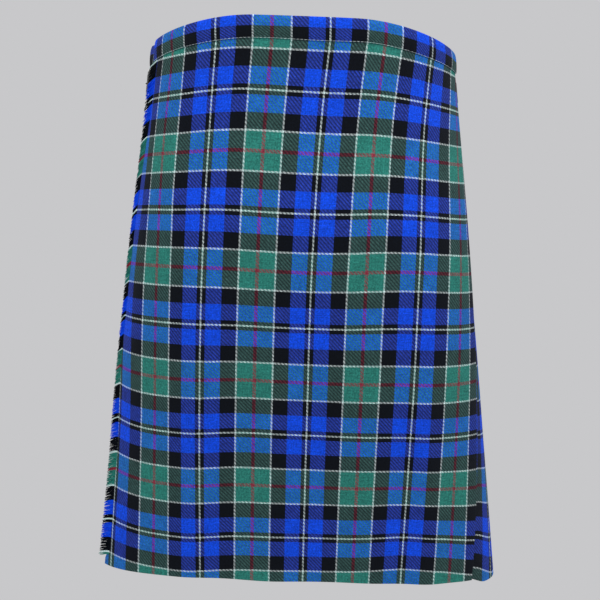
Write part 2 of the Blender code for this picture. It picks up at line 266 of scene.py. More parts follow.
def on_outline(table, height, share):
    """The form's X or Y at a height and a share of the way round."""
    row = (height - FORM_HEIGHTS[0]) / FORM_STEP
    i = np.clip(np.floor(row).astype(int), 0, len(FORM_HEIGHTS) - 2)
    column = (share % 1.0) * (len(FORM_SHARES) - 1)
    j = np.clip(np.floor(column).astype(int), 0, len(FORM_SHARES) - 2)
    a, b = row - i, column - j
    upper = mix(table[i, j], table[i, j + 1], b)
    return mix(upper, mix(table[i + 1, j], table[i + 1, j + 1], b), a)


def on_form(length, out, drop):
    """Points in metres from the length round from the middle of the front towards +X,
    the distance out from the form, and the share of the way down."""
    length, out, drop = np.broadcast_arrays(length, out, drop)
    share = length / girth_at(drop)
    from_front = np.minimum(share % 1.0, 1.0 - share % 1.0)
    dip = steady(from_front, *DIP_FROM_FRONT) * steady(0.5 - from_front, *DIP_FROM_BACK)
    height = mix(-TOP_DIP * dip, -LENGTH - HEM_DIP * dip, drop)
    reach = DIRECTION_STEP / girth_at(drop)
    x, y = (on_outline(table, height, share) for table in (FORM_X, FORM_Y))
    along_x, along_y = (
        on_outline(table, height, share + reach) - on_outline(table, height, share - reach)
        for table in (FORM_X, FORM_Y)
    )
    size = np.hypot(along_x, along_y)
    return np.stack([x + out * along_y / size, y - out * along_x / size, height], -1) * MM


# How far out from the form each layer of cloth lies.
OVER = -0.6
TURNED = (-2.5, -3.4)
PANEL = (-4.75, -7.2)
UNDER = (-8.6, -12.5)
# Lengths round to the two edges of the over apron, how far the pressed one bows out,
# and how far the free one does where its fringe is drawn back, at the hip and lower.
FREE_EDGE = (-180.0, -230.0)
FOLD_EDGE = (200.0, 209.0)
FOLD_BOW = 14.0
DRAWN_BOW = 15.5
DRAWN_FOOT = 2.2
APRON_LINES = 24
TURN_LINES = 4


def free_edge(drop):
    return mix(*FREE_EDGE, drop)


def drawn_edge(drop):
    """Where the fringe is drawn back to: a white line, that bows out past the free edge."""
    bow = DRAWN_BOW * swell(drop, 0.06, 0.36, 0.53, 0.79)
    return free_edge(drop) - bow - DRAWN_FOOT * swell(drop, 0.5, 0.7, 0.83, 0.9)


def fold_edge(drop):
    return mix(*FOLD_EDGE, drop) + FOLD_BOW * 4.0 * drop * (1.0 - drop)


def apron_line(line, drop):
    """The length round of one of the aprons' upright lines, 0 to 24 from edge to edge."""
    return mix(free_edge(drop), fold_edge(drop), np.asarray(line) / APRON_LINES)


# The cloth's own coordinates are in thirds of its sett: one third is the distance
# between neighbouring white lines, 38 mm across and 41 mm down the kilt. The tables
# give the third that lies at a length round (across each row) and a share down.
THIRD = 38.4
SETT = 3.0
ACROSS_KNOTS = (-230.0, -180.0, -130.0, -45.0, 50.0, 135.0, 220.0)
DOWN_KNOTS = (0.0, 0.15, 0.4, 0.7, 1.0)
THIRDS_ACROSS = np.array(
    [
        (-2.10, -0.52, 0.96, 3.17, 5.56, 7.79, 9.85),
        (-2.30, -0.30, 1.14, 3.36, 5.81, 8.11, 10.25),
        (-1.08, -0.03, 1.34, 3.54, 6.03, 8.22, 10.40),
        (-1.25, -0.01, 1.43, 3.62, 6.10, 8.32, 10.55),
        (-1.16, 0.07, 1.44, 3.64, 6.15, 8.46, 10.59),
    ]
)
THIRDS_DOWN = np.array(
    [
        (-0.49, -0.57, -0.68, -0.75, -0.76, -0.73, -0.62),
        (1.69, 1.61, 1.50, 1.45, 1.42, 1.51, 1.73),
        (5.44, 5.37, 5.26, 5.15, 5.17, 5.33, 5.46),
        (10.01, 9.80, 9.70, 9.76, 9.72, 9.77, 9.86),
        (14.42, 14.25, 14.18, 14.31, 14.32, 14.44, 14.10),
    ]
)


def thirds(length, drop):
    """The cloth's own place across and down, in thirds of the sett, on the two aprons."""
    across = knot_weights(ACROSS_KNOTS, length)
    down = knot_weights(DOWN_KNOTS, drop)
    return [
        np.einsum("...d,dk,...k->...", down, table, across)
        for table in (THIRDS_ACROSS, THIRDS_DOWN)
    ]


def soft_folds(length, drop, folds):
    """How far soft folds stand out, in mm. Each is (length at its top, share down at its
    top, length at its foot, share at its foot, half width, height)."""
    out = np.zeros(np.broadcast(length, drop).shape)
    for top, start, foot, end, half_width, height in folds:
        t = (drop - start) / (end - start)
        away = (length - mix(top, foot, np.clip(t, 0.0, 1.2))) / half_width
        out = out + height * swell(t, 0.0, 0.45, 0.8, 1.15) * np.exp(-away * away)
    return out


def lay_weave(mesh, places):
    """Gives each corner of the faces its place in the weave, as the UV map."""
    layer = mesh.uv_layers.new(name="weave")
    layer.data.foreach_set("uv", np.asarray(places, np.float32).ravel())


def cloth_mesh(name, points, across, down, missing=None):
    """A sheet through a grid of points, with its places in the weave."""
    rows, columns = points.shape[:2]
    index = np.arange(rows * columns).reshape(rows, columns)
    quads = np.stack([index[:-1, :-1], index[1:, :-1], index[1:, 1:], index[:-1, 1:]], -1)
    keep = np.ones(quads.shape[:2], bool) if missing is None else ~missing
    quads = quads[keep]
    mesh = new_mesh(name, points.reshape(-1, 3).tolist(), quads.tolist())
    lay_weave(mesh, np.stack([across, down], -1).reshape(-1, 2)[quads.reshape(-1)])
    return mesh


def add_piece(mesh, finish, solids, thickness=0.0, bevel=0.0):
    """Puts a piece, named as its mesh, in place of its solids, as thick as it is given."""
    mesh.materials.append(finish)
    made = new_object(mesh.name, mesh)
    if thickness:
        wall = made.modifiers.new("thickness", "SOLIDIFY")
        wall.thickness = thickness * MM
        wall.offset = 0.0
    if bevel:
        edge = made.modifiers.new("edge", "BEVEL")
        edge.width = bevel * MM
        edge.segments = 2
        edge.angle_limit = math.radians(60.0)
    if thickness or bevel:
        graph = bpy.context.evaluated_depsgraph_get()
        made.data = bpy.data.meshes.new_from_object(made.evaluated_get(graph))
        made.modifiers.clear()
    made.data.polygons.foreach_set("use_smooth", [True] * len(made.data.polygons))
    made.data.set_sharp_from_angle(angle=math.radians(62.0))
    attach(made, "root")
    if solids:
        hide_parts(*solids)
    return made


# Worsted wool twill, yarn dyed: each square of the tartan takes half its colour from
# the warp and half from the weft, in the fine diagonal of a two-and-two twill. The
# hues are full where both yarns are coloured and dull where one of them is black.
# Each dye has its full hue, its dull hue and a mark that is white for black.
DYES = {
    "red": ("#963648", "#742A38", "#000000"),
    "green": ("#31887B", "#456C66", "#000000"),
    "white": ("#DCF4F2", "#D2DEDE", "#000000"),
    "black": ("#060B14", "#15181F", "#FFFFFF"),
    "blue": ("#1052F6", "#304ED0", "#000000"),
}
FULL, DULL, IS_BLACK = 0, 1, 2
# The half sett from the red line to the middle white line, as ends in thirds.
HALF_SETT = (
    ("red", 0.046),
    ("green", 0.478),
    ("white", 0.522),
    ("black", 0.94),
    ("blue", 1.37),
    ("black", 1.475),
    ("white", 0.5 * SETT),
)
RED_ACROSS = 0.5
RED_DOWN = 2.5
# A real yarn is 0.6 mm wide, too fine to show: these are 1 mm, 38 to a third, and each
# takes part of its neighbour's colour, so the twill shows faintly as it does a step away.
YARNS = 38.0
SHOWN_TWILL = 0.5
# Wool yarn is uneven. Each yarn has thick and thin places some 10 mm long, so the cloth
# is faintly streaked both ways, and there are flecks of 2 mm and broad soft patches.
WARP_STREAKS = (30.0, 3.5, 1.0)
WEFT_STREAKS = (3.5, 30.0, 1.0)
FLECKS = (20.0, 0.63, 1.05)
PATCHES = (1.3, 0.93, 1.07)


def sett_colours(tree, place, red_line, columns):
    """The sett's colours at a place across or down it, one output for each column of DYES."""
    shifted = add(tree, "Math", {0: place, 1: red_line}, operation="SUBTRACT")
    folded = add(tree, "Math", {0: shifted, 1: 0.5 * SETT}, operation="PINGPONG")
    share = add(tree, "Math", {0: folded, 1: 0.5 * SETT}, operation="DIVIDE")
    colours = []
    for column in columns:
        stripes = add(tree, "ValToRGB", {0: share})
        stripes.color_ramp.interpolation = "CONSTANT"
        stops = stripes.color_ramp.elements
        starts = [0.0] + [end / (0.5 * SETT) for _, end in HALF_SETT]
        for k, (yarn, _) in enumerate(HALF_SETT):
            stop = stops.new(starts[k]) if k else stops[0]
            stop.position = starts[k]
            stop.color = linear(DYES[yarn][column])
        stops.remove(stops[-1])
        colours.append(stripes)
    return colours


# A mix node takes its numbers at inputs 2 and 3 and its colours at 6 and 7, and noise
# is spread from the 0.3 to 0.7 that it mostly keeps to.
tartan, tree = new_finish("worsted_wool_tartan")
weave = add(tree, "UVMap", uv_map="weave")
place = add(tree, "SeparateXYZ", {0: weave})
yarn_sets = []
for axis, red_line in (("X", RED_ACROSS), ("Y", RED_DOWN)):
    full, dull, black = sett_colours(tree, place.outputs[axis], red_line, (FULL, DULL, IS_BLACK))
    count = add(tree, "Math", {0: place.outputs[axis], 1: YARNS}, operation="MULTIPLY")
    number = add(tree, "Math", {0: count}, operation="FLOOR")
    yarn_sets.append((full, dull, black, count, number))
fulls, dulls, blacks, counts, numbers = zip(*yarn_sets)
differ = add(tree, "Math", {0: blacks[0], 1: blacks[1]}, operation="SUBTRACT")
one_black = add(tree, "Math", {0: differ}, operation="ABSOLUTE")
warp, weft = (
    add(tree, "Mix", {"Factor": one_black, 6: full, 7: dull}, data_type="RGBA")
    for full, dull in zip(fulls, dulls)
)
# In a two-and-two twill each yarn goes over two and under two, one step on in each row.
steps = add(tree, "Math", {0: numbers[0], 1: numbers[1]}, operation="SUBTRACT")
quarters = add(tree, "Math", {0: steps, 1: 0.25, 2: 0.125}, operation="MULTIPLY_ADD")
turn = add(tree, "Math", {0: quarters}, operation="FRACT")
warp_up = add(tree, "Math", {0: turn, 1: 0.5}, operation="LESS_THAN")
least = 0.5 - 0.5 * SHOWN_TWILL
shown = add(tree, "Math", {0: warp_up, 1: SHOWN_TWILL, 2: least}, operation="MULTIPLY_ADD")
cloth_colour = add(tree, "Mix", {"Factor": shown, 6: weft, 7: warp}, data_type="RGBA")
streaks = []
for stretch in (WARP_STREAKS, WEFT_STREAKS):
    drawn_out = add(tree, "VectorMath", {0: weave, 1: stretch}, operation="MULTIPLY")
    noise = add(tree, "TexNoise", {"Vector": drawn_out, "Scale": 1.0, "Detail": 2.0})
    streaks.append(add(tree, "MapRange", {0: noise, 1: 0.3, 2: 0.7, 3: 0.66, 4: 1.34}))
streaked = {"Factor": warp_up, 2: streaks[1], 3: streaks[0]}
value = add(tree, "Mix", streaked, data_type="FLOAT")
for scale, low, high in (FLECKS, PATCHES):
    noise = add(tree, "TexNoise", {"Vector": weave, "Scale": scale, "Detail": 3.0})
    spread = add(tree, "MapRange", {0: noise, 1: 0.3, 2: 0.7, 3: low, 4: high})
    value = add(tree, "Math", {0: value, 1: spread}, operation="MULTIPLY")
toned = add(tree, "VectorMath", {0: cloth_colour, "Scale": value}, operation="SCALE")
# The relief of the twill: a rounded yarn on each side, the upper one a little proud.
rounded = []
for count in counts:
    across_yarn = add(tree, "Math", {0: count, 1: 0.5}, operation="PINGPONG")
    rounded.append(add(tree, "Math", {0: across_yarn}, operation="SQRT"))
upper_yarn = {"Factor": warp_up, 2: rounded[1], 3: rounded[0]}
relief = add(tree, "Mix", upper_yarn, data_type="FLOAT")
bump = add(tree, "Bump", {"Height": relief, "Strength": 0.6, "Distance": 0.0005})
feeds = {
    "Base Color": toned,
    "Normal": bump,
    "Roughness": 0.88,
    "Specular IOR Level": 0.12,
    "Sheen Weight": 0.05,
    "Sheen Roughness": 0.55,
    "Sheen Tint": linear("#B9C4E0"),
}
add(tree, "OutputMaterial", {"Surface": add(tree, "BsdfPrincipled", feeds)})

CLOTH_SHOWN = 1.0
# Folds fade out between these distances from the pressed edge.
FOLDS_FADE = (40.0, 8.0)
# The selvedge below the last yarn of the fringe isn't drawn out, so it reaches further.
SELVEDGE_REACH = 6.0
SELVEDGE_SHARES = (0.974, 0.984)
FRONT_FOLDS = (
    (-96.0, 0.22, -128.0, 1.1, 26.0, 2.9),
    (-20.0, 0.45, -34.0, 1.15, 36.0, 3.8),
    (64.0, 0.30, 88.0, 1.1, 30.0, 3.0),
    (138.0, 0.40, 150.0, 1.15, 22.0, 3.6),
    (20.0, 0.10, 40.0, 0.5, 44.0, 2.0),
    (-150.0, 0.08, -140.0, 0.34, 14.0, 1.2),
    (-58.0, 0.06, -70.0, 0.26, 12.0, 1.1),
    (118.0, 0.05, 108.0, 0.30, 13.0, 1.2),
)
drops = np.linspace(0.0, 1.0, 151)[:, None]
front_lines = np.linspace(0.0, 1.0, 181)[None, :]
turn_angles = np.radians([22.5, 67.5, 112.5, 157.5])[None, :]
back_lines = np.linspace(0.0, 1.0, 19)[None, :]
edge = fold_edge(drops)
bend = 0.5 * (OVER - mix(*TURNED, drops))
corner = SELVEDGE_REACH * steady(drops, *SELVEDGE_SHARES)
front_round = mix(drawn_edge(drops) - corner, edge - bend, front_lines)
turn_round = edge - bend + bend * np.sin(turn_angles)
turn_out = OVER - bend + bend * np.cos(turn_angles)
back_round = mix(edge - bend, apron_line(APRON_LINES - TURN_LINES, drops), back_lines)
back_out = mix(*TURNED, drops) + 0.0 * back_round
fade = 1.0 - steady(front_round, edge - FOLDS_FADE[0], edge - FOLDS_FADE[1])
front_out = OVER + soft_folds(front_round, drops, FRONT_FOLDS) * fade
length = np.concatenate([front_round, turn_round, back_round], 1)
out = np.concatenate([front_out, turn_out, back_out], 1)
across, down = thirds(front_round, drops)
behind = [bend * turn_angles, math.pi * bend + (edge - bend) - back_round]
behind = np.concatenate(behind, 1)
across = np.concatenate([across, across[:, -1:] + behind / THIRD], 1)
down = np.concatenate([down, np.repeat(down[:, -1:], behind.shape[1], 1)], 1)
mesh = cloth_mesh("over_apron_cloth", on_form(length, out, drops), across, down)
over_apron = add_piece(mesh, tartan, ["over_apron"], CLOTH_SHOWN)

# ---- under apron ----------------------------------------------------------------
# The inner front panel is the other end of the same length of cloth. It wraps behind
# the over apron, from a seam at the wearer's right to the wearer's left hip, and
# hangs plain, a little loose at its lower edge.

UNDER_FIRST = 2.5
UNDER_SETTLED = 10.0
UNDER_LAST = 23.0
UNDER_SHIFT = 1.2
UNDER_FOLDS = (
    (-60.0, 0.25, -82.0, 1.1, 30.0, -2.0),
    (30.0, 0.35, 22.0, 1.15, 42.0, -2.6),
    (120.0, 0.3, 132.0, 1.1, 34.0, -2.0),
)


def under_level(line, drop):
    """It starts at the pleats' level and settles further in, behind the over apron."""
    return mix(mix(*PANEL, drop), mix(*UNDER, drop), steady(line, UNDER_FIRST, UNDER_SETTLED))


under_lines = np.linspace(UNDER_FIRST, UNDER_LAST, 91)[None, :]
drops = np.linspace(0.0, 1.0, 91)[:, None]
length = apron_line(under_lines, drops)
out = under_level(under_lines, drops) + soft_folds(length, drops, UNDER_FOLDS)
across, down = thirds(length, drops)
across = across + UNDER_SHIFT
mesh = cloth_mesh("under_apron_cloth", on_form(length, out, drops), across, down)
under_apron = add_piece(mesh, tartan, ["under_apron"], CLOTH_SHOWN)

# ---- pleated back ---------------------------------------------------------------
# One length of cloth in knife pleats, pressed sharp towards the wearer's right. Each
# takes up one sett, so the checks run on unbroken at the hips. The folds are stitched
# down for a third of the way, and a slit at the left lets the inner strap through.

PLEATS = 22
FIRST_FACE = 70.0
LAST_FACE = 45.0
LAST_STEPS = (8.0, 15.0, 22.5, 30.0)
PLEAT_DEPTH = 1.5
FELL_END = 0.34
FELL_LAYER = (1.75, 1.9)
HEM_LAYER = 4.5
SETTLE = 9.0
SWING = 1.5
PRESSED = 1.5
# The first face hangs this much lower at the hem, between these mm past the front fold.
HANG = 9.0
HANGS_BETWEEN = (-4.0, 30.0, 82.0, 146.0)
STRAP_DROP = 40.0
SLIT_START = 4.0
SLIT_END = 15.5
SLIT_HALF = 13.0
SLIT_ROWS = 3
SEAM = 0.3
SEAM_BEND = 2.6
# Thirds across the first face: at the front fold, and where the cloth's own spacing
# starts again, which is this far past the fold. In between, the lower part's stripes are
# drawn wider than the cloth's, so that its black covers the face beside the apron's fold as
# painted shade. The first of a pair is for its upper part.
FACE_FOLD = (9.62, 10.0)
FACE_SHADE_END = 10.44
FACE_REACH = (32.0, 24.0)
TOP_THIRD = -0.62
BACK_FOLDS = (
    (352.0, 0.38, 392.0, 1.15, 44.0, 3.4),
    (452.0, 0.46, 512.0, 1.1, 38.0, -3.0),
    (560.0, 0.36, 640.0, 1.15, 52.0, 3.0),
    (690.0, 0.5, 812.0, 1.1, 40.0, -2.6),
    (770.0, 0.42, 930.0, 1.15, 34.0, 2.6),
)


def stack(drop):
    """The distance between two layers of a pleat: stitched above, hanging open below."""
    fell = mix(*FELL_LAYER, steady(drop, 0.0, FELL_END))
    return mix(fell, HEM_LAYER, steady(drop, FELL_END, 1.0))


def panel_level(length, drop):
    """How far out the first face lies: under the apron's edge, and level with it beyond."""
    start = fold_edge(drop)
    return mix(mix(*PANEL, drop), OVER, steady(length, start + 2.0, start + FIRST_FACE))


def face_across(past_edge, drop):
    """The thirds across the first face, from the distance past the front fold, with the black
    stripe drawn wider next to the fold low down, as painted shade.
    """
    lower = steady(drop, 0.5, 0.85)
    start, reach = mix(*FACE_FOLD, lower), mix(*FACE_REACH, lower)
    # Painted shade: up to the reach, the stripes are spread wider than the cloth's, so that the
    # black beside the fold fills the shade under the apron's edge.
    shade_widened_thirds = mix(start, FACE_SHADE_END, np.clip(past_edge / reach, 0.0, 1.0))
    return shade_widened_thirds + np.maximum(past_edge - reach, 0.0) / THIRD


def settle(length, drop):
    """How far the pleats sink in towards the legs, most at the hem and right round."""
    return SETTLE * drop * steady(length / girth_at(drop), 0.52, 0.72)


def pleat_folds(drop):
    first = fold_edge(drop) + FIRST_FACE
    last = girth_at(drop) + free_edge(drop) - LAST_FACE
    return [mix(first, last, k / (PLEATS - 1.0)) for k in range(PLEATS)]


slit_drops = ((STRAP_DROP - SLIT_HALF) / LENGTH, (STRAP_DROP + SLIT_HALF) / LENGTH)
drops = np.concatenate(
    [
        np.linspace(0.0, slit_drops[0], SLIT_ROWS + 1)[:-1],
        np.linspace(*slit_drops, SLIT_ROWS + 1)[:-1],
        np.linspace(slit_drops[1], 1.0, 64),
    ]
)[:, None]
girth = girth_at(drops)
pitch = pleat_folds(drops)[1] - pleat_folds(drops)[0]
# Below the stitching each pleat swings a little to one side or the other.
free = steady(drops, FELL_END + 0.06, 1.0)
folds = [
    fold + SWING * math.sin(2.3 * k + 0.4) * free for k, fold in enumerate(pleat_folds(drops))
]
layer = stack(drops)
fell_pitch = float((pleat_folds(FELL_END)[1] - pleat_folds(FELL_END)[0]) / THIRD)
turned_at, panel_at = mix(*TURNED, drops), mix(*PANEL, drops)
path = []


def lay_line(length, out, across):
    """Adds one upright line of the cloth, by its length round, level and thirds across."""
    path.append(np.broadcast_arrays(length, out, across, drops)[:3])


def run(start, end, stations, first=True):
    """A run of cloth between two (length round, out, thirds across) ends."""
    for t in np.linspace(0.0, 1.0, stations)[0 if first else 1 :]:
        lay_line(*[mix(a, b, t) for a, b in zip(start, end)])


def bend_round(centre_round, upper, lower, side, across_from, across_to):
    """A pressed fold: half a turn between two levels, on the side it points to."""
    half = 0.5 * (upper - lower)
    for k in (1, 2, 3):
        angle = math.pi * k / 4.0
        lay_line(
            centre_round + side * np.abs(half) * math.sin(angle),
            0.5 * (upper + lower) + half * math.cos(angle),
            mix(across_from, across_to, k / 4.0),
        )


# The cloth starts at a seam behind the apron's turned edge and comes back on itself.
seam = apron_line(APRON_LINES - TURN_LINES, drops)
seam_bend = seam - SEAM_BEND
run((seam - SEAM, turned_at, 8.0), (seam_bend, turned_at, 8.06), 3)
bend_round(seam_bend, turned_at, panel_at, -1.0, 8.06, 8.1)
edge = fold_edge(drops)
edge_across = face_across(0.0 * drops, drops)
seam_across = edge_across - (edge - seam) / THIRD
run((seam_bend, panel_at, seam_across), (edge, panel_at, edge_across), 16)
slit_column = len(path)
face_spots = [edge + SLIT_START]
face_spots += [
    mix(edge + SLIT_END, folds[0] - PRESSED, t) for t in np.linspace(0.0, 1.0, 15)
]
for spot in face_spots:
    lay_line(spot, panel_level(spot, drops), face_across(spot - edge, drops))
fold_across = face_across(folds[0] - edge, drops)
# Each pleat: its face up to the fold, the layer back under it to its inner fold, and
# the layer forward again, which comes up to become the next pleat's face.
near = 0.5 * layer
tight = np.minimum(near, PRESSED)
for i, fold in enumerate(folds):
    face_level = OVER - settle(fold, drops)
    inner = fold - PLEAT_DEPTH * pitch
    next_across = fold_across + fell_pitch + SETT
    face_end = fold_across - tight / THIRD
    hidden_start = face_end + math.pi * near / THIRD
    hidden_end = next_across - pitch / THIRD
    halfway = mix(hidden_start, hidden_end, 0.5)
    low = face_level - layer
    deep = OVER - 4.0 * layer - settle(inner, drops)
    deeper = OVER - 5.0 * layer - settle(inner, drops)
    turn_in = fold - 0.6 * pitch
    if i == 0:
        deep = np.minimum(deep, panel_level(inner, drops) - layer)
        deeper = deep - layer
    middle = mix(low, deep, 0.4)
    if i == 0:
        middle = np.minimum(panel_level(turn_in, drops) - layer, middle)
    near_fold = (fold - 2.0, face_level, fold_across - 2.0 / THIRD)
    run(near_fold, (fold - tight, face_level, face_end), 2)
    bend_round(fold - tight, face_level, low, 1.0, face_end, hidden_start)
    mid = (turn_in, middle, mix(hidden_start, halfway, 0.4))
    run((fold - tight, low, hidden_start), mid, 3)
    run(mid, (inner, deep, halfway), 3, False)
    bend_round(inner, deep, deeper, -1.0, halfway, halfway)
    foot = (fold, OVER - 2.0 * layer - settle(fold, drops), hidden_end)
    run((inner, deeper, halfway), foot, 4)
    if i < PLEATS - 1:
        half_face = fold + 0.5 * pitch
        rise = OVER - layer - settle(half_face, drops)
        half_up = (half_face, rise, mix(hidden_end, next_across, 0.5))
        ahead_level = mix(rise, OVER - settle(folds[i + 1], drops), 0.85)
        run(foot, half_up, 3, False)
        run(half_up, (folds[i + 1] - 5.0, ahead_level, next_across - 5.0 / THIRD), 4, False)
    fold_across = next_across
# Past the last pleat the cloth goes in under the over apron's free edge.
last, low = foot[:2]
under_seam = [girth + apron_line(line, drops) for line in (0, 1, 2)]
stop = girth + apron_line(UNDER_FIRST, drops) - SEAM
for spot in (*[last + step for step in LAST_STEPS], *under_seam, stop):
    level = mix(low, panel_at, steady(spot, last, under_seam[0]))
    lay_line(spot, level, hidden_end + (spot - last) / THIRD)
length, out, across = (np.concatenate(parts, 1) for parts in zip(*path))
# At the front fold the first face's rows lie a little off the apron's, and further
# round they run on into the rows of the pleats.
past = length - edge
lower = steady(drops, 0.0, 0.75)
near_front = mix(TOP_THIRD, -0.94, lower) + 15.26 * drops
face_down = mix(TOP_THIRD, -0.23, lower) + 14.13 * drops
on_face = mix(near_front, face_down, steady(past, 0.0, 58.0))
down = mix(on_face, mix(TOP_THIRD, 14.3, drops), steady(past, 58.0, 140.0))
hang = 1.0 + HANG * swell(past, *HANGS_BETWEEN) / LENGTH
drops = drops * hang
down = down * hang
out = out + soft_folds(length, drops, BACK_FOLDS)
missing = np.zeros((length.shape[0] - 1, length.shape[1] - 1), bool)
missing[SLIT_ROWS : 2 * SLIT_ROWS, slit_column] = True
points = on_form(length, out, drops)
mesh = cloth_mesh("pleated_back_cloth", points, across, down, missing)
pleats = add_piece(mesh, tartan, ["pleats"], CLOTH_SHOWN)

# ---- waistband ------------------------------------------------------------------
# A narrow strip of the same cloth is folded over the raw top edge and felled down
# outside, so its top is softly rounded and its lower edge shows a faint pucker
# between stitches. Its checks match those of the cloth below.

BAND_HEIGHT = 22.0
BAND_LIFT = 1.5
BAND_GAP = 1.6
BAND_EASE = 0.15
BAND_FALL = 15.0
BAND_SHOWN = 0.8
# The band takes its thirds across from this share down the cloth below.
BAND_MATCH = 0.035
UNDER_BAND_ENDS = (-140.0, 184.0)
# out from the middle of the band's wall; down from the top edge; thirds down the cloth
BAND_PROFILE = np.array(
    [
        (-2.3, -0.4, 1.28),
        (-1.8, -0.9, 1.28),
        (-0.9, -1.0, 1.29),
        (-0.2, -0.5, 1.30),
        (0.35, 0.9, 1.34),
        (0.75, 3.4, 1.40),
        (0.95, 6.4, 1.47),
        (0.98, 9.6, 1.56),
        (0.85, 13.0, 1.68),
        (0.6, 16.4, 1.79),
        (0.25, 19.2, 1.90),
        (-0.05, 21.0, 1.95),
        (-0.35, 22.0, 1.995),
    ]
)


def wander(length):
    """How far the felled edge wanders up and down."""
    return 0.35 * np.sin(length / 17.0 + 0.7) + 0.25 * np.sin(length / 41.0)


def band_strip(name, spots, level, across_at, solid, first, end):
    """One run of the waistband over spots round the form, at a level out from it."""
    proud, down_mm, down = np.moveaxis(BAND_PROFILE[:, None, :], -1, 0)
    drop = down_mm / LENGTH
    round_at = spots(np.clip(drop, 0.0, None))
    pucker = 0.16 * np.sin(round_at / 1.35 + 1.7 * np.sin(round_at / 23.0))
    pucker = pucker * steady(down_mm, 10.0, 20.0)
    out = level(round_at, np.clip(drop, 0.0, None)) + proud + pucker
    lowered = wander(round_at) * steady(down_mm, 8.0, BAND_HEIGHT)
    points = on_form(round_at, out, drop + lowered / LENGTH)
    mesh = cloth_mesh(name, points, across_at(round_at), down + 0.0 * round_at)
    strip = add_piece(mesh, tartan, [solid], BAND_SHOWN)


def over_band_level(round_at, drop):
    return OVER + BAND_LIFT + 0.0 * round_at


def under_band_level(round_at, drop):
    line = (round_at - FREE_EDGE[0]) / (FOLD_EDGE[0] - FREE_EDGE[0]) * APRON_LINES
    return under_level(line, drop) + BAND_LIFT


def back_band_level(round_at, drop):
    """Over the first face and the pleats, then in under the over apron's free edge."""
    over_pleats = BAND_LIFT + BAND_EASE
    last = pleat_folds(drop)[-1]
    end = girth_at(drop) + apron_line(0, drop)
    low = OVER - 2.0 * stack(drop) + over_pleats
    panel = mix(*PANEL, drop) + over_pleats
    level = mix(low, panel, steady(round_at, last, end))
    beyond = mix(OVER + over_pleats, level, steady(round_at, last, last + BAND_FALL))
    return np.where(round_at > last, beyond, panel_level(round_at, drop) + over_pleats)


def back_band_spots(drop):
    start = fold_edge(drop) + BAND_GAP
    end = girth_at(drop) + apron_line(UNDER_FIRST, drop) - SEAM
    return mix(start, end, np.linspace(0.0, 1.0, 521)[None, :])


band_strip(
    "waistband_over_cloth",
    lambda drop: apron_line(np.linspace(-0.45, APRON_LINES, 331)[None, :], drop),
    over_band_level,
    lambda round_at: thirds(round_at, BAND_MATCH + 0.0 * round_at)[0],
    "waistband_over",
    FREE_EDGE[0],
    FOLD_EDGE[0],
)
band_strip(
    "waistband_under_cloth",
    lambda drop: apron_line(np.linspace(UNDER_FIRST, UNDER_LAST, 201)[None, :], drop),
    under_band_level,
    lambda round_at: thirds(round_at, BAND_MATCH + 0.0 * round_at)[0] + UNDER_SHIFT,
    "waistband_under",
    *UNDER_BAND_ENDS,
)
band_strip(
    "waistband_back_cloth",
    back_band_spots,
    back_band_level,
    lambda round_at: face_across(round_at - FOLD_EDGE[0], 0.0),
    "waistband_back",
    FOLD_EDGE[0] + BAND_GAP,
    float(girth_at(0.0)) + UNDER_BAND_ENDS[0],
)

# ---- fringe ---------------------------------------------------------------------
# At its free edge the over apron's upright yarns are drawn out over 15 to 20 mm, so
# the level yarns stand alone as a fringe in their own full colours. Each is a soft
# singles yarn that has kinked where it was woven, and they sag together.

FRINGE_YARNS = 980
FRINGE_SIDES = 3
FRINGE_STEPS = 6
FRINGE_SHARES = (0.037, 0.978)
FRINGE_REACH = 16.2
FRINGE_ROOT = 1.6
YARN_RADIUS = 0.44
# The yarns just below the waistband have been handled most and stray furthest.
TANGLED_AT = 0.11
TANGLED_OVER = 0.035


def unit(vectors):
    return vectors / np.linalg.norm(vectors, axis=-1, keepdims=True)


def ring_points(line, side, over, radii, count, start=0.0):
    """Rings of points round a line, in the plane of two directions at each of its places."""
    angles = start + np.arange(count) * 2.0 * math.pi / count
    ring = np.cos(angles)[:, None] * side[:, None] + np.sin(angles)[:, None] * over[:, None]
    radii = np.broadcast_to(radii, len(line))
    return (line[:, None] + ring * radii[:, None, None]).reshape(-1, 3).tolist()


# Drawn worsted yarn: the dyes' full hues with no twill over them, quite matt, in flecks
# of a mm or so where the wool is thick or thin.
drawn_yarn, tree = new_finish("drawn_wool_yarn")
weave = add(tree, "UVMap", uv_map="weave")
place = add(tree, "SeparateXYZ", {0: weave})
(stripes,) = sett_colours(tree, place.outputs["Y"], RED_DOWN, (FULL,))
noise = add(tree, "TexNoise", {"Vector": weave, "Scale": 45.0, "Detail": 3.0})
value = add(tree, "MapRange", {0: noise, 1: 0.3, 2: 0.7, 3: 0.62, 4: 1.1})
toned = add(tree, "VectorMath", {0: stripes, "Scale": value}, operation="SCALE")
feeds = {"Base Color": toned, "Roughness": 0.95, "Specular IOR Level": 0.06}
add(tree, "OutputMaterial", {"Surface": add(tree, "BsdfPrincipled", feeds)})

chance = np.random.default_rng(7)
corners, faces, weave_places = [], [], []
